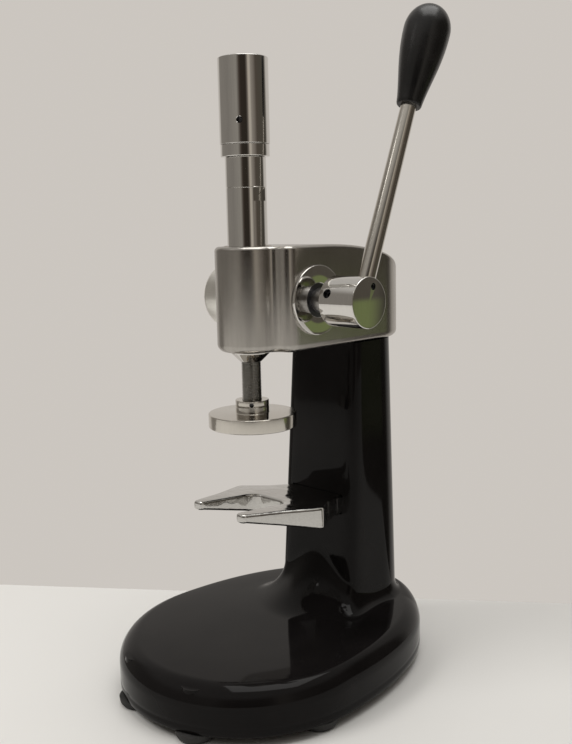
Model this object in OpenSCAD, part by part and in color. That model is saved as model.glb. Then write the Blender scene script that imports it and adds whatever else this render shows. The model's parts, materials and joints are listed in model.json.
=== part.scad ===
// Lever tamping press: a black cast stand, an aluminium head with a rack-driven ram,
// a sprung tamper disc under it and a fork that holds the portafilter.
// Frame: origin on the surface under the feet, at the middle of the footprint,
// +X towards the lever, -Y towards the user, +Z up. Millimetres.

/* [Base] */
// Half of the width of the base
base_half_w = 88; // [80:1:100]
// Length of the base in front of its widest line
base_front_len = 90; // [84:1:100]
// Length of the base behind its widest line
base_rear_len = 140; // [138:1:150]
// Height of the top of the base
base_top_z = 36; // [32:1:42]
// Radius of the shoulder between side wall and top
base_shoulder = 14; // [8:1:15]
// Height of the rubber feet
foot_h = 6; // [5:0.5:9]
// Radius of the rubber feet
foot_r = 13.2; // [9:0.2:13.4]

/* [Column] */
// Height of the column's top, where the head sits
column_top_z = 224.5; // [215:0.5:235]
// Half of the width of the column at its top
column_half_w = 31.4; // [29:0.2:32]
// Radius of the sweep from the column's front to the base
column_sweep = 44; // [20:1:50]
// Wall thickness of the casting
casting_wall = 7; // [5:0.5:9]

/* [Head] */
// Height of the head casting
head_h = 67.4; // [64:0.2:72]
// Half of the width of the head
head_half_w = 33; // [32.6:0.1:35]
// Radius of the nose around the ram
nose_r = 21.5; // [20:0.5:23]

/* [Ram] */
// Outer radius of the ram tube
ram_r = 13; // [12.8:0.1:13.2]
// Outer radius of the pressure cap
cap_r = 15.85; // [15:0.05:18]
// Height of the pressure cap
cap_h = 52.4; // [50:0.2:60]

/* [Tamper] */
// Diameter of the tamper disc
disc_d = 58; // [49:0.5:58]
// Thickness of the tamper disc
disc_h = 9.3; // [8:0.1:12]
// Height of the disc's lower face
disc_z = 174.4; // [172:0.2:176]
// Radius of the plunger rod
rod_r = 6.5; // [6.4:0.1:6.6]

/* [Drive] */
// Module of the rack and pinion
gear_module = 1.5; // [1.5]
// Number of teeth on the pinion
pinion_teeth = 24; // [24]
// Height of the pinion shaft
shaft_z = 256.7; // [255:0.1:258]
// Radius of the pinion shaft
shaft_r = 7; // [6.5:0.1:7.2]

/* [Lever] */
// Distance of the lever's axis from the middle plane
lever_x = 69.8; // [69:0.1:70.2]
// Backward lean of the lever at rest
lever_lean = 21.8; // [10:0.2:30]
// Distance from the shaft to the end of the grip
lever_len = 198; // [180:1:230]
// Length of the grip
grip_len = 68.5; // [60:0.5:75]

/* [Fork] */
// Height of the fork's top on the ram axis
fork_top_z = 123.2; // [118:0.2:128]
// Half of the width of the fork's slot
slot_half_w = 16.5; // [15:0.5:18]

/* [Hidden] */
$fn = 96;

run_fit = 0.04;                 // radial clearance of sliding and turning fits
ram_y = -19;                    // ram axis, ahead of the middle of the footprint
base_wide_y = base_front_len - (base_front_len + base_rear_len) / 2;
column_y = 73;                  // centre from which the column's section is measured
rays = 96;                      // directions around the column in the outer skin
inner_rays = 48;                // directions around the column in the cavity

head_z0 = column_top_z;
head_z1 = head_z0 + head_h;
head_level_y = 35;              // the head's top is level up to here, behind the ram axis
head_rear_y = 98;               // centre of the rounded rear of the head, behind the ram axis
head_rear_len = 34;
head_tail_z = 257;              // height to which the top falls at the rear
head_fall_len = 98;             // length over which it falls

pitch_r = gear_module * pinion_teeth / 2;
rack_pitch_y = ram_y + 10.5;
shaft_y = rack_pitch_y + pitch_r;
tooth = PI * gear_module;
pressure_angle = 20;
pinion_tip_r = pitch_r + gear_module;
pinion_half_w = 6;
bearing_len = head_half_w - ram_r - 0.5;

nose_bevel = 5.75;              // 45 degree bevel at the ram's lower end
ram_z0 = 217.6;
thread_z0 = 347.3;              // shoulder where the cap thread starts
ram_z1 = 396;
thread_r = 12;
chamber_z0 = 308;               // floor of the spring chamber
chamber_r = 9.5;
ring_z0 = 347.5;
cap_z0 = 355.1;
cap_roof = 6.5;

boss_z = disc_z + disc_h;       // foot of the disc's boss
boss_h = 4.5;
boss_r = 11;
nut_h = 4;
nut_z = boss_z + boss_h + 0.1;
rod_z0 = disc_z + 2;

hub_x0 = 47.8;
hub_x1 = 76.85;
hub_r = 16;
grip_belly = 51;                // distance from the grip's foot to its widest place
grip_belly_r = 15;
escutcheon_x = head_half_w + 2;
cover_x = -head_half_w - 22;    // outer face of the spring cover
bore_r = pinion_tip_r + 0.7;    // bore that takes the pinion from the left

fork_slope = 0.088;             // fall of the fork's top from its tips to its root
fork_tip_z = fork_top_z - 3.2;
fork_root_z = fork_top_z - 19.2;
fork_seat_y = ram_y + 62.5;
fork_root_half_w = 24;

side_foot = [73.5, ram_y - 20];
front_foot = [28.7, ram_y - 80];
rear_foot = [45, ram_y + 96];

black_paint = [0.06, 0.06, 0.065];
polished = [0.80, 0.80, 0.80];
chrome = [0.88, 0.88, 0.90];

// ---- shared shapes -------------------------------------------------------------------

// Distance from the centre to a superellipse whose front and rear halves differ.
function super_r(phi, half_w, front, rear, n_front, n_rear) =
    let (s = sin(phi), depth = s < 0 ? front : rear, n = s < 0 ? n_front : n_rear)
    pow(pow(abs(cos(phi)) / half_w, n) + pow(abs(s) / depth, n), -1 / n);

// Positive outside the base's outline, negative inside it.
function base_side(x, y) =
    let (dy = y - base_wide_y, front = dy < 0, n = front ? 2 : 2.2)
    pow(abs(x) / base_half_w, n) + pow(abs(dy) / (front ? base_front_len : base_rear_len), n) - 1;

// Distance from the column's centre to the base's outline, by halving the interval.
function base_r(phi, lo = 0, hi = 260, steps = 22) =
    steps == 0 ? (lo + hi) / 2 :
    let (mid = (lo + hi) / 2, side = base_side(mid * cos(phi), column_y + mid * sin(phi)))
    side > 0 ? base_r(phi, lo, mid, steps - 1) : base_r(phi, mid, hi, steps - 1);

// Distance from the column's centre to its wall at height z. It widens downwards.
function column_r(phi, z) =
    let (drop = column_top_z - z)
    super_r(phi, column_half_w + 0.02 * drop, 24.6 + 0.066 * drop, 29 + 0.02 * drop, 10, 2.3);

// Reach of the sweep between base and column: long in front, short elsewhere.
function sweep_z(phi) = 8 + (column_sweep - 8) * pow(max(0, -sin(phi)), 3);

// One radial profile of the stand, from the rim of the base up the column: [radius, z].
function stand_profile(phi) =
    let (rim = base_r(phi),
         room = rim - column_r(phi, base_top_z),
         shoulder = min(base_shoulder, 0.62 * room),
         fz = sweep_z(phi),
         fx = min(fz, 0.3 * room),
         crown = 0.012 * (room - shoulder - fx),
         top = base_top_z + crown,
         wall_z = base_top_z - base_shoulder)
    concat(
        [[rim - 1.2, foot_h], [rim, foot_h + 1.2]],
        [for (a = [0:15:90]) [rim - shoulder * (1 - cos(a)), wall_z + base_shoulder * sin(a)]],
        [for (a = [0:15:90]) [column_r(phi, top + fz) + fx * (1 - sin(a)), top + fz * (1 - cos(a))]],
        [for (t = [0.33, 0.67, 1])
            let (z = (top + fz) * (1 - t) + column_top_z * t) [column_r(phi, z), z]]);

// The cavity follows the same profile, one wall thickness further in.
function cavity_profile(phi) =
    let (rim = base_r(phi) - casting_wall,
         room = rim - column_r(phi, base_top_z),
         fz = sweep_z(phi),
         fx = min(fz, 0.3 * room),
         roof = base_top_z - casting_wall,
         corner = min(8, 0.4 * max(room, 1)))
    concat(
        [[rim, foot_h - 1], [rim, roof - 8], [rim - corner, roof]],
        [for (a = [0:30:90])
            [column_r(phi, roof + fz) - casting_wall + (fx + casting_wall) * (1 - sin(a)),
             roof + (fz + casting_wall) * (1 - cos(a))]],
        [[column_r(phi, column_top_z) - casting_wall - 1, column_top_z - 12]]);

// The side faces between rings of n points.
function ring_walls(count, n) =
    [for (k = [0:count - 2]) for (i = [0:n - 1])
        let (j = (i + 1) % n, a = k * n, b = a + n)
        each [[a + i, b + i, b + j], [a + i, b + j, a + j]]];

// A closed skin over rings of equal length, the first at the bottom. Both ends are fans.
module skin(rings) {
    n = len(rings[0]);
    top = (len(rings) - 1) * n;
    low = len(rings) * n;
    polyhedron(
        points = concat([for (ring = rings) each ring],
            [middle(rings[0]), middle(rings[len(rings) - 1])]),
        faces = concat(
            [for (i = [0:n - 1]) [low, i, (i + 1) % n]],
            [for (i = [0:n - 1]) [low + 1, top + (i + 1) % n, top + i]],
            ring_walls(len(rings), n)),
        convexity = 10);
}

function middle(ring) = [for (i = [0:len(ring) - 1]) 1] * ring / len(ring);

// Turns profiles, one per direction, into level rings round the column.
function rings_from(profiles) =
    [for (k = [0:len(profiles[0]) - 1])
        [for (i = [0:len(profiles) - 1])
            let (phi = 360 * i / len(profiles), p = profiles[i][k])
            [p[0] * cos(phi), column_y + p[0] * sin(phi), p[1]]]];

// Points of an arc about a centre.
function arc(centre, r, from, to, steps) =
    [for (i = [0:steps]) let (a = from + (to - from) * i / steps) centre + r * [cos(a), sin(a)]];

// A closed outline with each corner [x, y, radius] rounded off.
function rounded(corners, steps = 8) =
    let (n = len(corners))
    [for (i = [0:n - 1])
        let (p = [corners[i][0], corners[i][1]], r = corners[i][2],
             before = corners[(i + n - 1) % n], after = corners[(i + 1) % n],
             u = unit([before[0], before[1]] - p), v = unit([after[0], after[1]] - p),
             half = acos(u * v) / 2, bisector = unit(u + v),
             centre = p + bisector * r / sin(half),
             a0 = heading(p + u * r / tan(half) - centre), a1 = heading(p + v * r / tan(half) - centre),
             turn = a1 - a0 - 360 * round((a1 - a0) / 360))
        each arc(centre, r, a0, a0 + turn, steps)];

function unit(v) = v / norm(v);
function heading(v) = atan2(v[1], v[0]);

// Both sides of a left-right symmetrical thing.
module both_sides() {
    children();
    mirror([1, 0, 0]) children();
}

module on_ram(z = 0) {
    translate([0, ram_y, z]) children();
}

// Local +Z along the shaft, towards the lever; local -X up.
module on_shaft(x = 0) {
    translate([x, shaft_y, shaft_z]) rotate([0, 90, 0]) children();
}

// Local +Z along the lever, from the shaft out to the grip.
module on_lever() {
    translate([lever_x, shaft_y, shaft_z]) rotate([-lever_lean, 0, 0]) children();
}

// A turned disc with both outer edges bevelled.
module bevelled(r, h, bevel) {
    rotate_extrude()
        polygon([[0, 0], [r - bevel, 0], [r, bevel], [r, h - bevel], [r - bevel, h], [0, h]]);
}

// A socket-head screw, head down, with its seat at z = 0 and its shank above.
module socket_screw(r, length, head_r, head_h) {
    difference() {
        union() {
            translate([0, 0, -head_h]) bevelled(head_r, head_h, 0.4);
            cylinder(r = r, h = length);
        }
        translate([0, 0, -head_h - 1]) cylinder(r = 0.55 * head_r, h = 0.6 * head_h + 1, $fn = 6);
    }
}

// A headless socket set screw along +Z from z = 0.
module set_screw(r, length) {
    difference() {
        bevelled(r, length, 0.3);
        translate([0, 0, length - 0.8 * r]) cylinder(r = 0.5 * r, h = r, $fn = 6);
    }
}

// ---- stand ---------------------------------------------------------------------------

module foot_places() {
    both_sides()
        for (p = [front_foot, side_foot, rear_foot]) translate([p[0], p[1], 0]) children();
}

// Both fork screws' axes: local +Z points backwards from a distance behind the fork's seat.
module fork_screw_places(behind) {
    for (x = [-12, 12])
        translate([x, fork_seat_y + behind, fork_root_z + 7]) rotate([-90, 0, 0]) children();
}

module head_screw_places() {
    for (x = [-14, 14]) translate([x, ram_y + 95, column_top_z - 12]) children();
}

// Base and column, cast in one piece and open underneath.
module base_casting() {
    color(black_paint)
    difference() {
        union() {
            difference() {
                skin(rings_from([for (i = [0:rays - 1]) stand_profile(360 * i / rays)]));
                skin(rings_from([for (i = [0:inner_rays - 1]) cavity_profile(360 * i / inner_rays)]));
            }
            foot_places() translate([0, 0, foot_h]) cylinder(r = 8, h = base_top_z - foot_h - 5);
        }
        foot_places() cylinder(r = 1.9, h = 22);
        head_screw_places() translate([0, 0, -1]) cylinder(r = 4.2, h = 20);
        fork_screw_places(-5) cylinder(r = 3.1, h = 20);
        fork_screw_places(4.5) cylinder(r = 5.6, h = 8);
        translate([-fork_root_half_w - 0.05, fork_seat_y - 12, fork_root_z - 0.05])
            cube([2 * fork_root_half_w + 0.1, 12.05, fork_z(fork_seat_y) - fork_root_z + 0.35]);
    }
}

module rubber_feet() {
    color([0.05, 0.05, 0.05])
    foot_places()
        rotate_extrude()
            polygon([[2.1, 3], [4.6, 3], [4.6, 0.8], [5.2, 0], [foot_r - 3, 0], [foot_r - 1.4, 0.6],
                [foot_r - 0.6, 2], [foot_r, foot_h - 0.6], [foot_r, foot_h], [2.1, foot_h]]);
}

module foot_screws() {
    color("dimgray")
    foot_places() translate([0, 0, 3]) socket_screw(1.85, 16, 4.2, 2);
}

// Outline of the fork: two splayed arms, a waist and the root that fits the column.
// Height of the fork's top, which falls from the tips to the root.
function fork_z(y) = fork_top_z - fork_slope * (y - ram_y);

module fork_outline() {
    tip_y = ram_y - 33.5;
    half = [[24.5, tip_y, 4], [31.5, ram_y - 6, 20], [41.5, ram_y + 22, 8], [29, ram_y + 40, 5],
        [fork_root_half_w, fork_seat_y - 8, 3], [fork_root_half_w, fork_seat_y, 0.6]];
    inner = [[slot_half_w, tip_y, 4], [slot_half_w, ram_y + 15, 9]];
    right = concat([inner[1], inner[0]], half);
    left = [for (i = [len(right) - 1:-1:0]) [-right[i][0], right[i][1], right[i][2]]];
    polygon(rounded(concat(right, left)));
}

module fork() {
    color(polished)
    difference() {
        intersection() {
            translate([0, 0, fork_root_z - 1])
                linear_extrude(fork_z(ram_y - 50) - fork_root_z + 1) fork_outline();
            rotate([90, 0, 90]) translate([0, 0, -60]) linear_extrude(120)
                polygon([[ram_y - 50, fork_z(ram_y - 50)], [ram_y - 50, fork_tip_z],
                    [ram_y - 30, fork_tip_z], [ram_y + 22, fork_root_z + 2.5],
                    [ram_y + 32, fork_root_z], [ram_y + 70, fork_root_z],
                    [ram_y + 70, fork_z(ram_y + 70)]]);
        }
        fork_screw_places(-18) cylinder(r = 3, h = 19);
    }
}

module fork_screws() {
    color("dimgray")
    fork_screw_places(4.5) mirror([0, 0, 1]) socket_screw(2.95, 20, 5, 5);
}

// ---- head ----------------------------------------------------------------------------

// Right half of the head's outline from front to rear, each point with its outward normal.
function head_half() =
    let (sh_r = 8, sh_c = [head_half_w - sh_r, 10], blend_r = 6,
         to_blend = nose_r + blend_r, to_sh = sh_r + blend_r, d = norm(sh_c),
         along = (to_blend * to_blend - to_sh * to_sh + d * d) / (2 * d),
         off = sqrt(to_blend * to_blend - along * along),
         u = unit(sh_c), blend_c = along * u + off * [u[1], -u[0]],
         a_nose = heading(blend_c), a_sh = heading(blend_c - sh_c))
    concat(
        [for (i = [0:12]) let (a = -90 + (a_nose + 90) * i / 12)
            [nose_r * [cos(a), sin(a)], [cos(a), sin(a)]]],
        [for (i = [1:3]) let (a = 180 + a_nose + (a_sh - a_nose) * i / 4)
            [blend_c + blend_r * [cos(a), sin(a)], -[cos(a), sin(a)]]],
        [for (i = [0:5]) let (a = a_sh * (1 - i / 5))
            [sh_c + sh_r * [cos(a), sin(a)], [cos(a), sin(a)]]],
        [for (y = [head_level_y:10:head_rear_y - 10]) [[head_half_w, y], [1, 0]]],
        [for (i = [0:14]) let (a = 90 * i / 14)
            [[head_half_w * cos(a), head_rear_y + head_rear_len * sin(a)],
             unit([cos(a) / head_half_w, sin(a) / head_rear_len])]]);

// Height of the head's top surface at a distance y behind the ram axis.
function head_top(y) =
    let (s = min(1, max(0, (y - head_level_y) / head_fall_len)))
    head_tail_z + (head_z1 - head_tail_z) * pow(1 - pow(s, 2.2), 1 / 2.2);

// A ring of the head, drawn in by an inset; height is measured from the bottom or the top.
function head_ring(half, inset, rise, from_top) =
    let (right = [for (p = half) p[0] - inset * p[1]],
         all = concat(right, [for (i = [len(right) - 2:-1:1]) [-right[i][0], right[i][1]]]))
    [for (p = all) [p[0], p[1] + ram_y, from_top ? head_top(p[1]) - rise : head_z0 + rise]];

// The head's skin. Its bottom and the level part of its top are fans about the ram axis,
// and the falling part of its top is closed by level strips from side to side.
module head_skin() {
    half = head_half();
    bottom_r = 5;
    top_r = 3;
    rings = concat(
        [for (a = [0:18:90]) head_ring(half, bottom_r * (1 - sin(a)), bottom_r * (1 - cos(a)), false)],
        [for (a = [90:-22.5:0]) head_ring(half, top_r * (1 - sin(a)), top_r * (1 - cos(a)), true)]);
    n = len(rings[0]);
    top = (len(rings) - 1) * n;
    m = len(half);
    level = max([for (i = [0:m - 1]) half[i][0][1] <= head_level_y ? i : 0]);
    low = len(rings) * n;
    polyhedron(
        points = concat([for (ring = rings) each ring], [[0, ram_y, head_z0], [0, ram_y, head_z1]]),
        faces = concat(
            [for (i = [0:n - 1]) [low, i, (i + 1) % n]],
            [for (i = [0:level - 1]) [low + 1, top + i + 1, top + i]],
            [for (i = [1:level]) [low + 1, top + (n - i + 1) % n, top + n - i]],
            [[low + 1, top + n - level, top + level]],
            [for (i = [level:m - 3]) let (a = top + i, b = top + n - i)
                each [[a, b, b - 1], [a, b - 1, a + 1]]],
            [[top + m - 2, top + n - m + 2, top + m - 1]],
            ring_walls(len(rings), n)),
        convexity = 10);
}

module head_casting() {
    color([0.62, 0.61, 0.59])
    difference() {
        difference() {
            head_skin();
            on_shaft(-head_half_w - 1) cylinder(r = bore_r, h = head_half_w + 8);
            on_shaft() cylinder(r = 11, h = 40);
            head_screw_places() translate([0, 0, 11]) cylinder(r = 4, h = 25);
        }
        on_ram(head_z0 - 1) rotate([0, 0, 31]) cylinder(r = 15.5, h = head_h + 2);
    }
}

module head_screws() {
    color("dimgray")
    head_screw_places() socket_screw(3.95, 32, 6.5, 8);
}

// A plain bush round the ram.
module guide_bush(z0, z1) {
    color([0.72, 0.56, 0.30])
    on_ram(z0)
        rotate_extrude()
            polygon([[ram_r + run_fit, 0.5], [ram_r + run_fit + 0.5, 0], [15.2, 0], [15.5, 0.3],
                [15.5, z1 - z0 - 0.3], [15.2, z1 - z0], [ram_r + run_fit + 0.5, z1 - z0],
                [ram_r + run_fit, z1 - z0 - 0.5]]);
}

module upper_guide_bush() {
    guide_bush(274, head_z1 - 0.2);
}

module lower_guide_bush() {
    guide_bush(head_z0 + 0.2, 240);
}

module escutcheon() {
    color(chrome)
    on_shaft(head_half_w)
        rotate_extrude()
            polygon([[11, 0], [22.5, 0], [22.5, 1.2], [21.7, 2], [12, 2], [11, 1.4]]);
}

module right_bush() {
    color([0.72, 0.56, 0.30])
    on_shaft(9)
        rotate_extrude()
            polygon([[shaft_r + run_fit, 0], [11, 0], [11, 25.2], [shaft_r + run_fit, 25.2]]);
}

module cover_screw_places() {
    on_shaft() for (a = [30, 150, 270]) rotate([0, 0, a]) translate([18.2, 0, 0]) children();
}

// Bearing plug that closes the pinion's bore on the left.
module left_bearing() {
    color([0.70, 0.70, 0.70])
    difference() {
        on_shaft(-head_half_w) cylinder(r = bore_r - 0.02, h = bearing_len);
        on_shaft(-head_half_w - 1) cylinder(r = shaft_r + run_fit, h = bearing_len + 2);
        cover_screw_places() translate([0, 0, -head_half_w - 1]) cylinder(r = 1.5, h = 11);
    }
}

// Round cover on the left that holds the return spring.
module spring_cover() {
    color([0.80, 0.79, 0.76])
    difference() {
        on_shaft(cover_x)
            rotate_extrude()
                polygon(concat([[0, 0]], arc([18.5, 4], 4, -90, 0, 6), [[22.5, 22], [0, 22]]));
        on_shaft(cover_x + 2.5) cylinder(r = 16.4, h = 20);
        cover_screw_places() translate([0, 0, cover_x - 1]) cylinder(r = 1.6, h = 25);
        cover_screw_places() translate([0, 0, cover_x - 1]) cylinder(r = 2.9, h = 3.1);
    }
}

module cover_screws() {
    color("dimgray")
    cover_screw_places() translate([0, 0, cover_x + 2.1]) socket_screw(1.45, 28, 2.75, 1.9);
}

// Flat spiral spring: inner end in the shaft's slot, outer end at the cover's wall.
module return_spring() {
    turns = 4.5;
    inner_r = 7.6;
    thick = 0.7;
    steps = 108;
    color("slategray")
    on_shaft(cover_x + 4)
        linear_extrude(13)
            polygon([for (side = [0, 1]) for (i = [0:steps])
                let (t = abs(side - i / steps), r = inner_r + side * thick + 8 * t, a = 360 * turns * t)
                r * [cos(a), sin(a)]]);
}

// ---- lever and pinion ----------------------------------------------------------------

module pinion_shaft() {
    color([0.75, 0.75, 0.76])
    difference() {
        union() {
            on_shaft(cover_x + 4) bevelled(shaft_r, escutcheon_x + 1 - cover_x - 4, 0.5);
            on_shaft(escutcheon_x + 0.6) bevelled(8, 28.1, 0.6);
        }
        on_shaft(cover_x + 3) translate([-0.5, -shaft_r - 1, 0]) cube([1, 2 * shaft_r + 2, 14]);
        translate([-pinion_half_w - 0.05, shaft_y - 1.5, shaft_z + shaft_r - 2.5])
            cube([2 * pinion_half_w + 0.1, 3, 4]);
    }
}

// Angle by which an involute has turned away at radius r, from a base circle.
function involute(base, r) =
    r <= base ? 0 : sqrt(pow(r / base, 2) - 1) * 180 / PI - acos(base / r);

// Half of a tooth's angle at radius r, thinned for backlash.
function half_tooth(r) =
    let (base = pitch_r * cos(pressure_angle), slack = 0.08 / pitch_r * 180 / PI)
    90 / pinion_teeth - slack + involute(base, pitch_r) - involute(base, r);

// Straight-flanked pinion with involute teeth. A gap faces the rack.
module pinion() {
    root = pitch_r - 1.25 * gear_module;
    radii = [root, 16.92, 17.4, 18, 18.6, 19.1, pinion_tip_r];
    color([0.45, 0.45, 0.47])
    difference() {
        on_shaft(-pinion_half_w)
            linear_extrude(2 * pinion_half_w)
                polygon([for (k = [0:pinion_teeth - 1])
                    let (mid = 360 * (k + 0.5) / pinion_teeth - 90)
                    each concat(
                        [for (r = radii) r * [cos(mid - half_tooth(r)), sin(mid - half_tooth(r))]],
                        [for (i = [len(radii) - 1:-1:0]) let (r = radii[i], a = mid + half_tooth(r))
                            r * [cos(a), sin(a)]])]);
        on_shaft(-pinion_half_w - 1) cylinder(r = shaft_r + 0.01, h = 2 * pinion_half_w + 2);
        translate([-pinion_half_w - 1, shaft_y - 1.5, shaft_z])
            cube([2 * pinion_half_w + 2, 3, shaft_r + 1.8]);
    }
}

module pinion_key() {
    color("dimgray")
    translate([-pinion_half_w, shaft_y - 1.48, shaft_z + shaft_r - 2.45])
        cube([2 * pinion_half_w, 2.96, 4.2]);
}

module lever_hub() {
    color(chrome)
    difference() {
        on_shaft(hub_x0)
            rotate_extrude()
                polygon(concat([[0, 0], [hub_r - 1.6, 0], [hub_r, 1.6]],
                    arc([hub_r - 0.8, hub_x1 - hub_x0 - 0.8], 0.8, 0, 90, 4), [[0, hub_x1 - hub_x0]]));
        on_shaft(hub_x0 - 1) cylinder(r = 8.01, h = 17.1);
        on_lever() translate([0, 0, 3]) cylinder(r = 5.65, h = 20);
        on_lever() translate([-2, 0, 10.5]) rotate([0, 90, 0]) cylinder(r = 2.2, h = 12);
        hub_screw_frame() cylinder(r = 3, h = 20);
    }
}

// Local +Z out of the hub's radial screw hole, square to the lever.
module hub_screw_frame() {
    translate([55.5, shaft_y, shaft_z]) rotate([90 - lever_lean, 0, 0]) children();
}

module hub_set_screw() {
    color("dimgray")
    hub_screw_frame() translate([0, 0, 8.02]) set_screw(2.95, 5.5);
}

module lever_rod() {
    color([0.78, 0.78, 0.79])
    difference() {
        on_lever() {
            translate([0, 0, 3.2]) bevelled(5.6, 13.3, 0.5);
            translate([0, 0, 16]) cylinder(r1 = 5.6, r2 = 5, h = lever_len - grip_len - 14);
            translate([0, 0, lever_len - grip_len]) cylinder(r = 5, h = 40);
        }
        on_lever() translate([1, 0, 10.5]) rotate([0, 90, 0]) cylinder(r = 2.2, h = 12);
    }
}

module rod_lock_screw() {
    color("dimgray")
    on_lever() translate([1.1, 0, 10.5]) rotate([0, 90, 0]) set_screw(2.15, 5);
}

// Radius of the pear-shaped grip at a distance s above its lower end.
function grip_r(s) = 8 + (grip_belly_r - 8) * pow(sin(90 * s / grip_belly), 1.35);

module lever_grip() {
    color([0.04, 0.04, 0.04])
    on_lever() translate([0, 0, lever_len - grip_len])
        difference() {
            rotate_extrude()
                polygon(concat([[0, 0], [7.2, 0]],
                    [for (i = [1:16]) let (s = grip_belly * i / 16) [grip_r(s), s]],
                    [for (a = [6:6:84])
                        [grip_belly_r * cos(a), grip_belly + (grip_len - grip_belly) * sin(a)]],
                    [[0, grip_len]]));
            translate([0, 0, -1]) cylinder(r = 5.02, h = 41.2);
        }
}

// ---- ram -----------------------------------------------------------------------------

// Section of the rack's gaps, cut into the back of the ram: [y, z] pairs.
module rack_cutter() {
    tip_y = rack_pitch_y + gear_module;
    root_y = rack_pitch_y - 1.25 * gear_module;
    tip_half = tooth / 4 - gear_module * tan(pressure_angle) - 0.08;
    root_half = tooth / 4 + 1.25 * gear_module * tan(pressure_angle) - 0.08;
    below = 3;
    above = 11;
    rotate([90, 0, 90]) translate([0, 0, -15]) linear_extrude(30)
        polygon(concat(
            [[ram_y + 20, shaft_z - (below + 0.5) * tooth], [tip_y, shaft_z - (below + 0.5) * tooth]],
            [for (k = [-below:above]) let (z = shaft_z + k * tooth)
                each [[root_y, z - root_half], [tip_y, z - tip_half],
                    [tip_y, z + tip_half], [root_y, z + root_half]]],
            [[tip_y, shaft_z + (above + 0.5) * tooth], [ram_y + 20, shaft_z + (above + 0.5) * tooth]]));
}

module ram_tube() {
    color(chrome)
    difference() {
        on_ram()
            rotate_extrude()
                polygon([[rod_r + 0.06, ram_z0], [ram_r - nose_bevel, ram_z0], [ram_r, ram_z0 + nose_bevel],
                    [ram_r, 328.2], [ram_r - 0.4, 328.5], [ram_r, 328.8],
                    [ram_r, thread_z0 - 0.5], [ram_r - 0.5, thread_z0], [thread_r - 0.8, thread_z0],
                    [thread_r, thread_z0 + 0.8], [thread_r, ram_z1 - 1], [thread_r - 1, ram_z1],
                    [chamber_r, ram_z1], [chamber_r, chamber_z0], [rod_r + 0.06, chamber_z0]]);
        rack_cutter();
        both_sides() on_ram() translate([12, -20, 320]) cube([5, 40, 8.5]);
    }
}

module cap_lock_ring() {
    color(chrome)
    on_ram(ring_z0)
        rotate_extrude()
            polygon([[thread_r + run_fit, 0], [14.9, 0], [15.5, 0.6], [15.5, 7], [15, 7.5],
                [thread_r + run_fit, 7.5]]);
}

module spring_follower() {
    color([0.6, 0.6, 0.62])
    on_ram(ram_z1 + 2)
        union() {
            bevelled(11.4, 2.9, 0.4);
            translate([0, 0, -8]) bevelled(5.4, 9, 0.6);
        }
}

module pressure_cap() {
    color(chrome)
    difference() {
        on_ram(cap_z0) bevelled(cap_r, cap_h, 0.7);
        on_ram(cap_z0 - 1) cylinder(r = thread_r + run_fit, h = cap_h - cap_roof + 1);
        on_ram(cap_z0 + 13.9) rotate([0, 90, -54]) translate([0, 0, 12.8]) cylinder(r = 1.85, h = 10);
    }
}

// Coil spring between the plunger's head and the follower.
module pressure_spring() {
    coil_r = 7.2;
    wire_r = 1.25;
    turns = 11;
    per_turn = 14;
    z0 = chamber_z0 + 6.1 + wire_r;
    z1 = ram_z1 + 1.9 - wire_r;
    rings = [for (i = [0:turns * per_turn])
        let (a = 360 * i / per_turn, t = i / (turns * per_turn))
        [for (k = [0:5]) let (b = 60 * k, r = coil_r + wire_r * cos(b))
            [r * cos(a), r * sin(a), z0 + (z1 - z0) * t + wire_r * sin(b)]]];
    color("slategray")
    on_ram() skin(rings);
}

module plunger_rod() {
    color([0.35, 0.35, 0.36])
    on_ram()
        rotate_extrude()
            polygon([[0, rod_z0], [rod_r - 1, rod_z0], [rod_r, rod_z0 + 1], [rod_r, chamber_z0 + 0.05],
                [chamber_r - 0.3, chamber_z0 + 0.05], [chamber_r - 0.3, chamber_z0 + 6], [5.4, chamber_z0 + 6],
                [5.4, chamber_z0 + 13], [4.8, chamber_z0 + 13.6], [0, chamber_z0 + 13.6]]);
}

module lock_nut() {
    color([0.6, 0.6, 0.6])
    difference() {
        on_ram(nut_z) bevelled(boss_r, nut_h, 0.5);
        on_ram(nut_z - 1) cylinder(r = rod_r + run_fit, h = nut_h + 2);
        on_ram(nut_z + 1.7) rotate([0, 90, -45]) translate([0, 0, 8]) cylinder(r = 1.5, h = 6);
    }
}

module tamper_disc() {
    r = disc_d / 2;
    color(polished)
    difference() {
        on_ram(disc_z)
            rotate_extrude()
                polygon([[0, 0], [r - 0.8, 0], [r, 0.8], [r, disc_h - 0.6], [r - 0.6, disc_h],
                    [boss_r, disc_h], [boss_r, disc_h + boss_h - 0.4], [boss_r - 0.4, disc_h + boss_h],
                    [0, disc_h + boss_h]]);
        on_ram(rod_z0 - 0.5) cylinder(r = rod_r + run_fit, h = 20);
    }
}

base_casting();
rubber_feet();
foot_screws();
fork();
fork_screws();
head_casting();
head_screws();
upper_guide_bush();
lower_guide_bush();
escutcheon();
right_bush();
left_bearing();
spring_cover();
cover_screws();
return_spring();
pinion_shaft();
pinion();
pinion_key();
lever_hub();
hub_set_screw();
lever_rod();
rod_lock_screw();
lever_grip();
ram_tube();
cap_lock_ring();
spring_follower();
pressure_cap();
pressure_spring();
plunger_rod();
lock_nut();
tamper_disc();
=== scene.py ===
import json
import math

import bmesh
import bpy
from mathutils import Matrix, Vector


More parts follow.
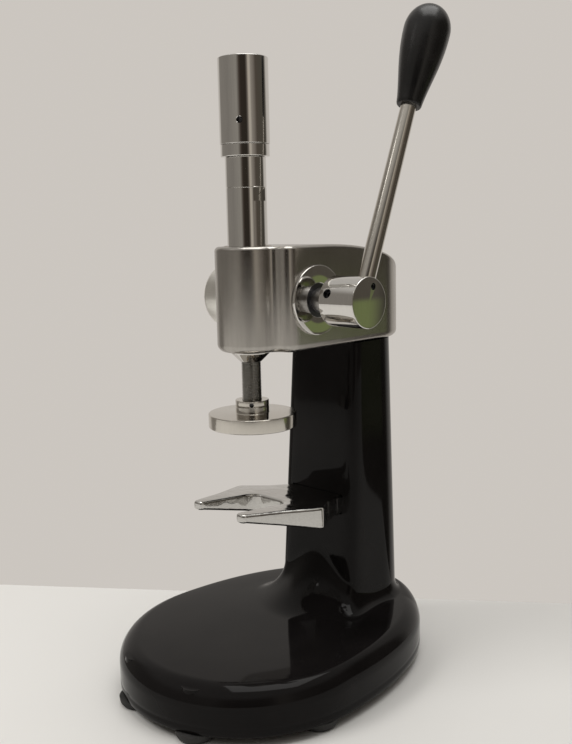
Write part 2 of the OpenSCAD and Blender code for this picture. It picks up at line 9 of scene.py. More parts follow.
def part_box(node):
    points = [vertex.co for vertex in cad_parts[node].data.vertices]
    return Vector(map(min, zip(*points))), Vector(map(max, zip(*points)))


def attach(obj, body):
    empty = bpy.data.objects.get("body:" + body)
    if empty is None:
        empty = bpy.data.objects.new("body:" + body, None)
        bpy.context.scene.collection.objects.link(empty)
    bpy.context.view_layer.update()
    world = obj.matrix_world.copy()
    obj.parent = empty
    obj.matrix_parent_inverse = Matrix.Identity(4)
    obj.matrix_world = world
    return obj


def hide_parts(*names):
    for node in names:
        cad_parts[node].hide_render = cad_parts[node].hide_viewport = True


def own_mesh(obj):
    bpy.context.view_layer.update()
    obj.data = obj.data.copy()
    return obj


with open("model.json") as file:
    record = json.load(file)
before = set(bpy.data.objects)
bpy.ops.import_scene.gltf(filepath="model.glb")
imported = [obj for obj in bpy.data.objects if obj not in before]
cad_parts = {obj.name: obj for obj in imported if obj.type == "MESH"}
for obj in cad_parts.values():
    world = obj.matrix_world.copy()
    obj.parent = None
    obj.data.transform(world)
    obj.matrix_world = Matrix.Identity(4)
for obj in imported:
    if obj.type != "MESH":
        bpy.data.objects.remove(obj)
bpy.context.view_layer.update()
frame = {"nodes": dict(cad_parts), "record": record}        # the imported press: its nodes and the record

MM = 0.001

# ---- places, from the frame ------------------------------------------------------------

CAP_LO, CAP_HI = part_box("pressure_cap")
SHAFT_LO, SHAFT_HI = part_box("pinion_shaft")
HEAD_LO, HEAD_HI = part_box("head_casting")
BASE_LO, BASE_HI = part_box("base_casting")
HUB_LO, HUB_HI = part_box("lever_hub")
ROD_LO, ROD_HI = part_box("plunger_rod")
TUBE_LO, TUBE_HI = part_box("ram_tube")
DISC_LO, DISC_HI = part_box("tamper_disc")
FORK_LO, FORK_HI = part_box("fork")

RAM_X, RAM_Y = (CAP_LO.x + CAP_HI.x) / 2, (CAP_LO.y + CAP_HI.y) / 2
SHAFT_Y, SHAFT_Z = (SHAFT_LO.y + SHAFT_HI.y) / 2, (SHAFT_LO.z + SHAFT_HI.z) / 2
LEVER_X = 69.8 * MM             # the rod's axis, to the right of the middle
LEVER_LEAN = math.radians(21.8)     # how far the lever leans back at rest
FORK_ROOT_HALF_W = 24 * MM
FORK_SLOPE = 0.088              # fall of the fork's top per unit of depth
CAMERA_YAW_DEG = 45.265         # heading of the camera, to the left of the depth axis

ON_RAM = Matrix.Translation((RAM_X, RAM_Y, 0))
ON_SHAFT = Matrix.Translation((0, SHAFT_Y, SHAFT_Z)) @ Matrix.Rotation(math.pi / 2, 4, "Y")
ON_LEVER = Matrix.Translation((LEVER_X, SHAFT_Y, SHAFT_Z)) @ Matrix.Rotation(-LEVER_LEAN, 4, "X")


# ---- mesh helpers ----------------------------------------------------------------------

def new_piece(name, verts, faces, place=None, sharp_deg=32):
    """A smooth-shaded mesh object, with edges sharper than sharp_deg kept crisp."""
    mesh = bpy.data.meshes.new(name)
    mesh.from_pydata([tuple(v) for v in verts], [], faces)
    if place is not None:
        mesh.transform(place)
    obj = bpy.data.objects.new(name, mesh)
    bpy.context.scene.collection.objects.link(obj)
    shade(obj, sharp_deg)
    return obj


def shade(obj, sharp_deg=32):
    """Smooth shading, with sharp edges marked where the faces turn by more than sharp_deg."""
    work = bmesh.new()
    work.from_mesh(obj.data)
    bmesh.ops.recalc_face_normals(work, faces=work.faces)
    limit = math.radians(sharp_deg)
    for face in work.faces:
        face.smooth = True
    for edge in work.edges:
        edge.smooth = len(edge.link_faces) == 2 and edge.calc_face_angle(0.0) < limit
    work.to_mesh(obj.data)
    work.free()


def rounded(corners, steps=6):
    """Points along an open line of (x, y, radius) corners, with each radius as an arc."""
    out = []
    for i, (x, y, radius) in enumerate(corners):
        here = Vector((x, y))
        if radius <= 0 or i in (0, len(corners) - 1):
            out.append((x, y))
            continue
        u = (Vector(corners[i - 1][:2]) - here).normalized()
        v = (Vector(corners[i + 1][:2]) - here).normalized()
        half = math.acos(max(-1.0, min(1.0, u.dot(v)))) / 2
        centre = here + (u + v).normalized() * (radius / math.sin(half))
        first = here + u * (radius / math.tan(half)) - centre
        last = here + v * (radius / math.tan(half)) - centre
        a0, a1 = math.atan2(first.y, first.x), math.atan2(last.y, last.x)
        turn = (a1 - a0 + math.pi) % (2 * math.pi) - math.pi
        for k in range(steps + 1):
            a = a0 + turn * k / steps
            out.append((centre.x + radius * math.cos(a), centre.y + radius * math.sin(a)))
    return out


def lathe(name, corners, place, segments=160, steps=6, closed=False):
    """Turns a profile of (radius, height, edge radius) in mm about the local Z axis.

    An open profile starts and ends on the axis; a closed one is a ring with a bore.
    """
    if closed:
        n = len(corners)
        loop = rounded([corners[-1]] + corners + [corners[0]], steps)
        profile = loop[1:-1]
    else:
        profile = rounded(corners, steps)
    verts, rows = [], []
    for r, h in profile:
        if r < 1e-6:
            rows.append([len(verts)] * segments)
            verts.append((0, 0, h * MM))
            continue
        rows.append(list(range(len(verts), len(verts) + segments)))
        for i in range(segments):
            a = 2 * math.pi * i / segments
            verts.append((r * MM * math.cos(a), r * MM * math.sin(a), h * MM))
    faces = []
    pairs = list(zip(rows, rows[1:]))
    if closed:
        pairs.append((rows[-1], rows[0]))
    for low, high in pairs:
        for i in range(segments):
            j = (i + 1) % segments
            quad = [low[i], low[j], high[j], high[i]]
            face = [v for k, v in enumerate(quad) if v != quad[k - 1]]
            if len(face) >= 3:
                faces.append(face)
    return new_piece(name, verts, faces, place)


def loft(name, rings, place=None, sharp_deg=32):
    """A skin over rings of equal length, closed by a fan at each end."""
    n = len(rings[0])
    verts = [p for ring in rings for p in ring]
    faces = []
    for k in range(len(rings) - 1):
        for i in range(n):
            j = (i + 1) % n
            faces.append([k * n + i, k * n + j, (k + 1) * n + j, (k + 1) * n + i])
    for start in (0, (len(rings) - 1) * n):
        ring = verts[start:start + n]
        centre = [sum(p[axis] for p in ring) / n for axis in range(3)]
        verts.append(tuple(centre))
        faces += [[start + i, start + (i + 1) % n, len(verts) - 1] for i in range(n)]
    return new_piece(name, verts, faces, place, sharp_deg)


def boolean(obj, others, operation="DIFFERENCE", sharp_deg=32):
    """Cuts others from obj, or joins them to it, and removes them."""
    for other in others:
        step = obj.modifiers.new("cut", "BOOLEAN")
        step.operation = operation
        step.solver = "EXACT"
        step.object = other
    bake(obj)
    for other in others:
        mesh = other.data
        bpy.data.objects.remove(other)
        bpy.data.meshes.remove(mesh)
    shade(obj, sharp_deg)
    return obj


def bake(obj):
    """Replaces obj's mesh by its shape with all modifiers applied."""
    graph = bpy.context.evaluated_depsgraph_get()
    mesh = bpy.data.meshes.new_from_object(obj.evaluated_get(graph))
    obj.modifiers.clear()
    old = obj.data
    obj.data = mesh
    bpy.data.meshes.remove(old)


def eased(obj, width, segments, angle_deg=28):
    """Rounds every edge sharper than angle_deg; the shape's own curves must be wider than that."""
    step = obj.modifiers.new("ease", "BEVEL")
    step.width = width * MM
    step.segments = segments
    step.limit_method = "ANGLE"
    step.angle_limit = math.radians(angle_deg)
    step.use_clamp_overlap = False
    bake(obj)
    shade(obj, 40)
    return obj


def joined(first, *others):
    """One object with the faces of all."""
    work = bmesh.new()
    for obj in (first,) + others:
        work.from_mesh(obj.data)
    work.to_mesh(first.data)
    work.free()
    for obj in others:
        mesh = obj.data
        bpy.data.objects.remove(obj)
        bpy.data.meshes.remove(mesh)
    return first


def drill(radius, length, place, segments=64):
    """A plain round cutter along the local Z axis from 0 to length, in mm."""
    profile = [(0, 0, 0), (radius, 0, 0), (radius, length, 0), (0, length, 0)]
    return lathe("cutter", profile, place, segments)


def block(lo, hi):
    """A plain box cutter between two corners in metres."""
    corners = [(x, y, z) for x in (lo[0], hi[0]) for y in (lo[1], hi[1]) for z in (lo[2], hi[2])]
    faces = [[0, 1, 3, 2], [4, 6, 7, 5], [0, 4, 5, 1], [2, 3, 7, 6], [0, 2, 6, 4], [1, 5, 7, 3]]
    return new_piece("cutter", corners, faces)


def paint_hole_shade(obj, *holes):
    """Paints shade into round holes, each (place, radius, from, to) in mm: the faces inside get the dark steel
    material as painted shade.
    """
    obj.data.materials.append(MATERIALS["dark_steel"])
    for place, radius, low, high in holes:
        back = place.inverted()
        for face in obj.data.polygons:
            at = back @ face.center / MM
            if math.hypot(at.x, at.y) < radius and low < at.z < high:
                face.material_index = 1


def place_piece(obj, body, node, material, holes=()):
    """Finishes a piece: material, body, the CAD node it stands for and the record's slot."""
    obj.data.materials.clear()
    obj.data.materials.append(material)
    # painted shade: the faces inside the listed holes take the dark steel material
    if holes:
        paint_hole_shade(obj, *holes)
    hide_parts(node)
    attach(obj, body)
    return obj


SLOT = {s["node"]: s["material_slot"] for s in frame["record"]["subparts"]}


# ---- materials -------------------------------------------------------------------------

def shader(name, color, metallic, roughness):
    """A Principled material with its constants on the shader's own sockets."""
    mat = bpy.data.materials.new(name)
    mat.use_nodes = True
    nodes, links = mat.node_tree.nodes, mat.node_tree.links
    bsdf = nodes["Principled BSDF"]
    bsdf.inputs["Base Color"].default_value = (*color, 1)
    bsdf.inputs["Metallic"].default_value = metallic
    bsdf.inputs["Roughness"].default_value = roughness
    where = nodes.new("ShaderNodeTexCoord")
    return mat, nodes, links, bsdf, where.outputs["Object"]


def noise(nodes, links, where, scale, stretch=(1, 1, 1), detail=3.0):
    """Noise in object space, stretched along the axes; scale is cycles per metre."""
    mapping = nodes.new("ShaderNodeMapping")
    mapping.inputs["Scale"].default_value = stretch
    links.new(where, mapping.inputs["Vector"])
    tex = nodes.new("ShaderNodeTexNoise")
    tex.inputs["Scale"].default_value = scale
    tex.inputs["Detail"].default_value = detail
    tex.inputs["Roughness"].default_value = 0.55
    links.new(mapping.outputs["Vector"], tex.inputs["Vector"])
    return tex.outputs["Fac"]


def spread(nodes, links, value, low, high, from_low=0.3, from_high=0.7):
    """Maps a noise value on to low..high."""
    node = nodes.new("ShaderNodeMapRange")
    node.inputs["From Min"].default_value = from_low
    node.inputs["From Max"].default_value = from_high
    node.inputs["To Min"].default_value = low
    node.inputs["To Max"].default_value = high
    links.new(value, node.inputs["Value"])
    return node.outputs["Result"]


def tint(nodes, links, value, dark, light):
    """Mixes two colours by a value."""
    ramp = nodes.new("ShaderNodeValToRGB")
    ramp.color_ramp.elements[0].position = 0.3
    ramp.color_ramp.elements[0].color = (*dark, 1)
    ramp.color_ramp.elements[1].position = 0.7
    ramp.color_ramp.elements[1].color = (*light, 1)
    links.new(value, ramp.inputs["Fac"])
    return ramp.outputs["Color"]


def bump(nodes, links, bsdf, value, strength, distance_mm, after=None):
    """Adds a bump from a height value; several may follow each other."""
    node = nodes.new("ShaderNodeBump")
    node.inputs["Strength"].default_value = strength
    node.inputs["Distance"].default_value = distance_mm * MM
    links.new(value, node.inputs["Height"])
    if after is not None:
        links.new(after, node.inputs["Normal"])
    links.new(node.outputs["Normal"], bsdf.inputs["Normal"])
    return node.outputs["Normal"]


def gloss_paint():
    """Thick gloss black over a casting, with faint orange peel and dust."""
    mat, nodes, links, bsdf, where = shader("black_paint", (0.006, 0.0055, 0.0055), 0, 0.07)
    haze = noise(nodes, links, where, 22, detail=2)
    color = tint(nodes, links, haze, (0.0045, 0.004, 0.004), (0.008, 0.007, 0.007))
    links.new(color, bsdf.inputs["Base Color"])
    specks = noise(nodes, links, where, 900, detail=1)
    links.new(spread(nodes, links, specks, 0.05, 0.14, 0.5, 0.9), bsdf.inputs["Roughness"])
    peel = noise(nodes, links, where, 160, detail=2)
    waves = noise(nodes, links, where, 28, detail=1)
    first = bump(nodes, links, bsdf, peel, 0.06, 0.03)
    bump(nodes, links, bsdf, waves, 0.10, 0.3, first)
    bsdf.inputs["Specular IOR Level"].default_value = 0.11
    return mat


def polished_metal(name, color, roughness, smudge, grain, grain_scale, grain_strength):
    """Polished metal with a directional micro grain and soft smudges in its gloss."""
    dark = tuple(0.93 * c for c in color)
    mat, nodes, links, bsdf, where = shader(name, color, 1, roughness)
    cloud = noise(nodes, links, where, 45, detail=4)
    gloss = spread(nodes, links, cloud, roughness, roughness + smudge, 0.42, 0.75)
    links.new(gloss, bsdf.inputs["Roughness"])
    lines = noise(nodes, links, where, grain_scale, grain, detail=2)
    links.new(tint(nodes, links, lines, dark, color), bsdf.inputs["Base Color"])
    bump(nodes, links, bsdf, lines, grain_strength, 0.02)
    return mat


def satin_casting():
    """Hand-polished aluminium casting: long soft polishing marks and a slightly uneven surface."""
    mat, nodes, links, bsdf, where = shader("satin_aluminium", (0.42, 0.40, 0.37), 1, 0.24)
    cloud = noise(nodes, links, where, 26, detail=4)
    links.new(spread(nodes, links, cloud, 0.19, 0.28), bsdf.inputs["Roughness"])
    marks = noise(nodes, links, where, 420, (1, 1, 0.05), detail=3)
    color = tint(nodes, links, marks, (0.385, 0.365, 0.34), (0.44, 0.42, 0.39))
    links.new(color, bsdf.inputs["Base Color"])
    fine = bump(nodes, links, bsdf, marks, 0.05, 0.015)
    uneven = noise(nodes, links, where, 20, detail=1)
    bump(nodes, links, bsdf, uneven, 0.15, 0.25, fine)
    return mat


def polished_casting():
    """Buffed aluminium casting: bright, but wavy enough to break up what it reflects."""
    mat, nodes, links, bsdf, where = shader("polished_aluminium", (0.56, 0.55, 0.53), 1, 0.1)
    cloud = noise(nodes, links, where, 70, detail=4)
    links.new(spread(nodes, links, cloud, 0.08, 0.18), bsdf.inputs["Roughness"])
    marks = noise(nodes, links, where, 1200, (0.06, 1, 1), detail=2)
    color = tint(nodes, links, marks, (0.50, 0.49, 0.47), (0.60, 0.59, 0.57))
    links.new(color, bsdf.inputs["Base Color"])
    fine = bump(nodes, links, bsdf, marks, 0.05, 0.02)
    waves = noise(nodes, links, where, 85, detail=1)
    bump(nodes, links, bsdf, waves, 0.6, 1.2, fine)
    return mat


def moulded_plastic():
    """Satin-gloss moulded plastic with a faint mould texture and rubbed patches."""
    mat, nodes, links, bsdf, where = shader("black_plastic", (0.008, 0.008, 0.008), 0, 0.24)
    worn = noise(nodes, links, where, 60, detail=4)
    links.new(spread(nodes, links, worn, 0.2, 0.34), bsdf.inputs["Roughness"])
    bsdf.inputs["Specular IOR Level"].default_value = 0.4
    color = tint(nodes, links, worn, (0.006, 0.006, 0.006), (0.011, 0.010, 0.010))
    links.new(color, bsdf.inputs["Base Color"])
    grain = noise(nodes, links, where, 1400, detail=2)
    bump(nodes, links, bsdf, grain, 0.12, 0.03)
    return mat


def foot_rubber():
    """Matt black rubber with a dusty bloom."""
    mat, nodes, links, bsdf, where = shader("rubber", (0.02, 0.02, 0.02), 0, 0.7)
    bloom = noise(nodes, links, where, 120, detail=5)
    color = tint(nodes, links, bloom, (0.012, 0.012, 0.012), (0.035, 0.034, 0.033))
    links.new(color, bsdf.inputs["Base Color"])
    links.new(spread(nodes, links, bloom, 0.6, 0.85), bsdf.inputs["Roughness"])
    pores = noise(nodes, links, where, 1800, detail=2)
    bump(nodes, links, bsdf, pores, 0.25, 0.05)
    return mat


MATERIALS = {
    "black_paint": gloss_paint(),
    "rubber": foot_rubber(),
    "satin_aluminium": satin_casting(),
    "polished_aluminium": polished_casting(),
    "black_plastic": moulded_plastic(),
}
METALS = [      # colour, roughness, smudges, stretch of the grain, grains per metre, their strength
    ("chrome", (0.70, 0.685, 0.66), 0.04, 0.05, (1, 1, 0.04), 1600, 0.03),
    ("polished_steel", (0.62, 0.59, 0.54), 0.13, 0.08, (1, 1, 0.03), 1500, 0.05),
    ("plain_steel", (0.45, 0.44, 0.43), 0.25, 0.12, (1, 1, 0.1), 1200, 0.08),
    ("threaded_steel", (0.33, 0.32, 0.30), 0.26, 0.15, (1, 1, 0.2), 1600, 0.08),
    ("dark_steel", (0.12, 0.12, 0.125), 0.30, 0.15, (1, 1, 1), 1500, 0.10),
    ("spring_steel", (0.33, 0.32, 0.33), 0.28, 0.12, (1, 1, 1), 1500, 0.08),
    ("cover_metal", (0.86, 0.845, 0.80), 0.26, 0.10, (0.1, 1, 1), 1200, 0.06),
    ("bronze", (0.60, 0.44, 0.24), 0.28, 0.12, (1, 1, 0.1), 1400, 0.08),
]
for metal in METALS:
    MATERIALS[metal[0]] = polished_metal(*metal)


def material_of(node):
    return MATERIALS[SLOT[node]]


# ---- the two castings ------------------------------------------------------------------

BASE_HALF_W = BASE_HI.x
BASE_FRONT_LEN = 90 * MM
BASE_REAR_LEN = (BASE_HI.y - BASE_LO.y) - BASE_FRONT_LEN
BASE_WIDE_Y = BASE_LO.y + BASE_FRONT_LEN
BASE_TOP_Z = 36 * MM
BASE_SHOULDER = 14 * MM
COLUMN_Y = 73 * MM
COLUMN_HALF_W = 31.4 * MM
COLUMN_SWEEP = 44 * MM
CAST_WALL = 7 * MM
FOOT_H = BASE_LO.z


def super_r(phi, half_w, front, rear, n_front, n_rear):
    """Distance from the centre to a superellipse whose front and rear halves differ."""
    s = math.sin(phi)
    depth, n = (front, n_front) if s < 0 else (rear, n_rear)
    return (abs(math.cos(phi) / half_w) ** n + abs(s / depth) ** n) ** (-1 / n)


def base_r(phi):
    """Distance from the column's centre to the base's outline, by halving the interval."""
    lo, hi = 0.0, 0.26
    for _ in range(30):
        mid = (lo + hi) / 2
        x, dy = mid * math.cos(phi), COLUMN_Y + mid * math.sin(phi) - BASE_WIDE_Y
        n, length = (2, BASE_FRONT_LEN) if dy < 0 else (2.2, BASE_REAR_LEN)
        outside = abs(x / BASE_HALF_W) ** n + abs(dy / length) ** n > 1
        lo, hi = (lo, mid) if outside else (mid, hi)
    return (lo + hi) / 2


def column_r(phi, z):
    """Distance from the column's centre to its surface; the column flares a little downwards."""
    drop = BASE_HI.z - z
    half_w, front, rear = COLUMN_HALF_W + 0.02 * drop, 24.6 * MM + 0.066 * drop, 29 * MM + 0.02 * drop
    return super_r(phi, half_w, front, rear, 10, 2.3)


def stand_profile(phi):
    """One radial profile of the stand, up the cavity, round the rim and up the outside."""
    rim = base_r(phi)
    room = rim - column_r(phi, BASE_TOP_Z)
    shoulder = min(BASE_SHOULDER, 0.62 * room)
    sweep = 8 * MM + (COLUMN_SWEEP - 8 * MM) * max(0.0, -math.sin(phi)) ** 3
    reach = min(sweep, 0.3 * room)
    crown = 0.012 * (room - shoulder - reach)
    top = BASE_TOP_Z + crown
    wall_z = BASE_TOP_Z - BASE_SHOULDER
    lip = 5 * MM
    outside = [(rim - 1.6 * MM, FOOT_H), (rim - 0.5 * MM, FOOT_H + 0.3 * MM), (rim, FOOT_H + 1.0 * MM),
               (rim, FOOT_H + lip - 0.8 * MM), (rim - 0.35 * MM, FOOT_H + lip),
               (rim - 0.1 * MM, FOOT_H + lip + 1.0 * MM), (rim, FOOT_H + lip + 3 * MM)]
    for k in range(17):
        a = math.pi / 2 * k / 16
        outside.append((rim - shoulder * (1 - math.cos(a)), wall_z + BASE_SHOULDER * math.sin(a)))
    inner_start = outside[-1][0]
    sweep_start = column_r(phi, top + sweep) + reach
    for t in (0.25, 0.5, 0.75):
        r = inner_start + (sweep_start - inner_start) * t
        outside.append((r, BASE_TOP_Z + crown * (1 - (1 - t) ** 2)))
    for k in range(25):
        a = math.pi / 2 * k / 24
        r = column_r(phi, top + sweep) + reach * (1 - math.sin(a))
        outside.append((r, top + sweep * (1 - math.cos(a))))
    for k in range(1, 13):
        z = (top + sweep) + (BASE_HI.z - top - sweep) * k / 12
        outside.append((column_r(phi, z), z))
    in_rim = rim - CAST_WALL
    in_room = in_rim - column_r(phi, BASE_TOP_Z)
    in_reach = min(sweep, 0.3 * in_room)
    roof = BASE_TOP_Z - CAST_WALL
    corner = min(8 * MM, 0.4 * max(in_room, MM))
    inside = [(in_rim, FOOT_H), (in_rim, roof - 8 * MM), (in_rim - 0.3 * corner, roof - 2.4 * MM),
              (in_rim - corner, roof)]
    for k in range(9):
        a = math.pi / 2 * k / 8
        r = column_r(phi, roof + sweep) - CAST_WALL + (in_reach + CAST_WALL) * (1 - math.sin(a))
        inside.append((r, roof + (sweep + CAST_WALL) * (1 - math.cos(a))))
    inside.append((column_r(phi, BASE_HI.z) - CAST_WALL - MM, BASE_HI.z - 12 * MM))
    return inside[::-1] + outside


def make_stand():
    """Foot and column as one hollow skin, with bosses for the feet and a seat for the fork."""
    rays = 320
    profiles = [stand_profile(2 * math.pi * i / rays) for i in range(rays)]
    rings = []
    for k in range(len(profiles[0])):
        ring = []
        for i, profile in enumerate(profiles):
            a = 2 * math.pi * i / rays
            r, z = profile[k]
            ring.append((r * math.cos(a), COLUMN_Y + r * math.sin(a), z))
        rings.append(ring)
    stand = loft("base_casting", rings, sharp_deg=40)
    bosses = [drill(8, 27, Matrix.Translation((x, y, FOOT_H))) for x, y in foot_places()]
    boolean(stand, bosses, "UNION", 40)
    pocket = 0.05 * MM
    cutters = [block((-FORK_ROOT_HALF_W - pocket, FORK_HI.y - 12 * MM, FORK_LO.z - pocket),
                     (FORK_ROOT_HALF_W + pocket, FORK_HI.y + pocket, fork_top(FORK_HI.y) + 6 * pocket))]
    cutters += [drill(1.9, 22, Matrix.Translation((x, y, 0))) for x, y in foot_places()]
    boolean(stand, cutters, "DIFFERENCE", 40)
    place_piece(stand, "stand", "base_casting", material_of("base_casting"))


def foot_places():
    """Centres of the six feet: three pairs, at the front, the sides and the rear."""
    front_x, side_x, rear_x = 28.7 * MM, 73.5 * MM, 45 * MM
    for x, y in ((front_x, RAM_Y - 80 * MM), (side_x, RAM_Y - 20 * MM), (rear_x, RAM_Y + 96 * MM)):
        yield x, y
        yield -x, y


def head_outline(steps):
    """Right half of the head's outline from front to rear, with outward normals, in metres."""
    half_w, nose, shoulder_r, blend_r = HEAD_HI.x, 21.5 * MM, 8 * MM, 6 * MM
    rear_y, rear_len = 98 * MM, HEAD_HI.y - RAM_Y - 98 * MM
    shoulder = Vector((half_w - shoulder_r, 10 * MM))
    d, to_blend, to_shoulder = shoulder.length, nose + blend_r, shoulder_r + blend_r
    along = (to_blend ** 2 - to_shoulder ** 2 + d ** 2) / (2 * d)
    off = math.sqrt(to_blend ** 2 - along ** 2)
    u = shoulder.normalized()
    blend = along * u + off * Vector((u.y, -u.x))
    a_nose = math.atan2(blend.y, blend.x)
    back = blend - shoulder
    a_shoulder = math.atan2(back.y, back.x)
    out = []
    for i in range(4 * steps + 1):
        a = -math.pi / 2 + (a_nose + math.pi / 2) * i / (4 * steps)
        n = Vector((math.cos(a), math.sin(a)))
        out.append((nose * n, n))
    for i in range(1, steps):
        a = math.pi + a_nose + (a_shoulder - a_nose) * i / steps
        n = Vector((math.cos(a), math.sin(a)))
        out.append((blend + blend_r * n, -n))
    for i in range(steps + 1):
        a = a_shoulder * (1 - i / steps)
        n = Vector((math.cos(a), math.sin(a)))
        out.append((shoulder + shoulder_r * n, n))
    for i in range(1, 24):
        y = 10 * MM + (rear_y - 10 * MM) * i / 24
        out.append((Vector((half_w, y)), Vector((1, 0))))
    for i in range(5 * steps + 1):
        a = math.pi / 2 * i / (5 * steps)
        out.append((Vector((half_w * math.cos(a), rear_y + rear_len * math.sin(a))),
                    Vector((math.cos(a) / half_w, math.sin(a) / rear_len)).normalized()))
    return out


def head_top(y):
    """Height of the head's top at a distance y behind the ram axis."""
    s = min(1.0, max(0.0, (y - 35 * MM) / (98 * MM)))
    tail = 257 * MM
    return tail + (HEAD_HI.z - tail) * (1 - s ** 2.2) ** (1 / 2.2)


def make_head():
    """The head: its outline swept up with rounded lower and upper edges, then bored."""
    half = head_outline(8)
    bottom_r, top_r, steps = 5 * MM, 3 * MM, 10
    rings = []

    def ring(inset, rise, from_top):
        right = [p - inset * n for p, n in half]
        left = [Vector((-p.x, p.y)) for p in right[-2:0:-1]]
        tops = [p.y for p, n in half] + [p.y for p, n in half[-2:0:-1]]
        rings.append([(p.x, p.y + RAM_Y, head_top(y) - rise if from_top else HEAD_LO.z + rise)
                      for p, y in zip(right + left, tops)])

    for k in range(steps + 1):
        a = math.pi / 2 * k / steps
        ring(bottom_r * (1 - math.sin(a)), bottom_r * (1 - math.cos(a)), False)
    for k in range(steps + 1):
        a = math.pi / 2 * (1 - k / steps)
        ring(top_r * (1 - math.sin(a)), top_r * (1 - math.cos(a)), True)
    n, m = len(rings[0]), len(half)
    verts = [p for r in rings for p in r]
    top = (len(rings) - 1) * n
    faces = [list(range(n))[::-1]]
    faces.append([top, top + 1, top + n - 1])
    faces += [[top + i, top + i + 1, top + n - i - 1, top + n - i] for i in range(1, m - 2)]
    faces.append([top + m - 2, top + m - 1, top + m])
    for k in range(len(rings) - 1):
        for i in range(n):
            j = (i + 1) % n
            faces.append([k * n + i, k * n + j, (k + 1) * n + j, (k + 1) * n + i])
    head = new_piece("head_casting", verts, faces, sharp_deg=30)
    height = (HEAD_HI.z - HEAD_LO.z) / MM
    cutters = [
        drill(15.5, height + 2, ON_RAM @ Matrix.Translation((0, 0, HEAD_LO.z - MM)), 128),
        drill(20.2, HEAD_HI.x / MM + 8, ON_SHAFT @ Matrix.Translation((0, 0, HEAD_LO.x - MM)), 128),
        drill(11, 40, ON_SHAFT, 96),
    ]
    boolean(head, cutters, "DIFFERENCE", 30)
    place_piece(head, "stand", "head_casting", material_of("head_casting"))


# ---- fork ------------------------------------------------------------------------------

def prism(outline, axis, low, high):
    """A prism over a closed outline in mm: along Z over (x, y) points, or along X over (y, z) points."""
    n = len(outline)
    if axis == "Z":
        verts = [(x * MM, y * MM, z * MM) for z in (low, high) for x, y in outline]
    else:
        verts = [(x * MM, y * MM, z * MM) for x in (low, high) for y, z in outline]
    faces = [list(range(n)), list(range(2 * n - 1, n - 1, -1))]
    faces += [[i, n + i, n + (i + 1) % n, (i + 1) % n] for i in range(n)]
    return new_piece("prism", verts, faces)


def fork_top(y):
    """Height of the fork's top, which falls from the tips to the root; metres."""
    return FORK_HI.z - FORK_SLOPE * (y - FORK_LO.y)


def make_fork():
    """Two splayed arms with eased edges; top and underside both fall away from the tips."""
    tip_y, root_y, ram_y = FORK_LO.y / MM, FORK_HI.y / MM, RAM_Y / MM
    root_half, root_z = FORK_ROOT_HALF_W / MM, FORK_LO.z / MM
    slot_half, tip_half = 16.5, 24.5
    right = [(slot_half, ram_y + 15, 9), (slot_half, tip_y, 4), (tip_half, tip_y, 4),
             (31.5, ram_y - 6, 20), (41.5, ram_y + 22, 8), (29, ram_y + 40, 5),
             (root_half, root_y - 8, 4), (root_half, root_y, 0)]
    left = [(-x, y, r) for x, y, r in right[::-1]]
    corners = right + left
    outline = rounded([corners[-1]] + corners + [corners[0]], 10)[1:-1]
    fork = prism(outline, "Z", root_z - 1, root_z + 30)
    front, rear, arm_z = ram_y - 50, ram_y + 70, root_z + 16
    side = [(front, fork_top(front * MM) / MM), (front, arm_z), (ram_y - 30, arm_z),
            (ram_y + 22, root_z + 2.5), (ram_y + 32, root_z), (rear, root_z),
            (rear, fork_top(rear * MM) / MM)]
    boolean(fork, [prism(side, "X", -60, 60)], "INTERSECT")
    fork.name = "fork_polished"
    eased(fork, 2.0, 6)
    place_piece(fork, "stand", "fork", material_of("fork"))


# ---- turned parts ----------------------------------------------------------------------

def make_feet():
    """Six round rubber feet with a sunk screw hole, as one piece."""
    r, top = 13.2, FOOT_H / MM
    feet = []
    for x, y in foot_places():
        profile = [(2.1, top, 0), (2.1, 3, 0), (4.6, 3, 0), (4.6, 0.8, 0.4), (5.2, 0, 0.4),
                   (r - 2.2, 0, 1.4), (r - 0.5, 2.4, 2), (r, top, 0.3)]
        feet.append(lathe("rubber_feet", profile, Matrix.Translation((x, y, 0)), 72, 4, closed=True))
    place_piece(joined(*feet), "stand", "rubber_feet", material_of("rubber_feet"))


def thread_rings(crest_r, depth, pitch, z0, z1, per_pitch=8, around=64):
    """Rings of a helical V thread between two heights, in mm, running out at both ends."""
    rings = []
    count = int(round((z1 - z0) / pitch * per_pitch))
    for k in range(count + 1):
        z = z0 + (z1 - z0) * k / count
        fade = min(1.0, (z - z0) / pitch, (z1 - z) / pitch)
        ring = []
        for i in range(around):
            phase = ((z - z0) / pitch - i / around) % 1.0
            valley = 1 - abs(2 * phase - 1)
            r = crest_r - depth * fade * min(1.0, 1.25 * valley)
            a = 2 * math.pi * i / around
            ring.append((r * MM * math.cos(a), r * MM * math.sin(a), z * MM))
        rings.append(ring)
    return rings


def circle(r, z, around=64):
    """A ring of points about the axis, in mm."""
    angles = [2 * math.pi * i / around for i in range(around)]
    return [(r * MM * math.cos(a), r * MM * math.sin(a), z * MM) for a in angles]


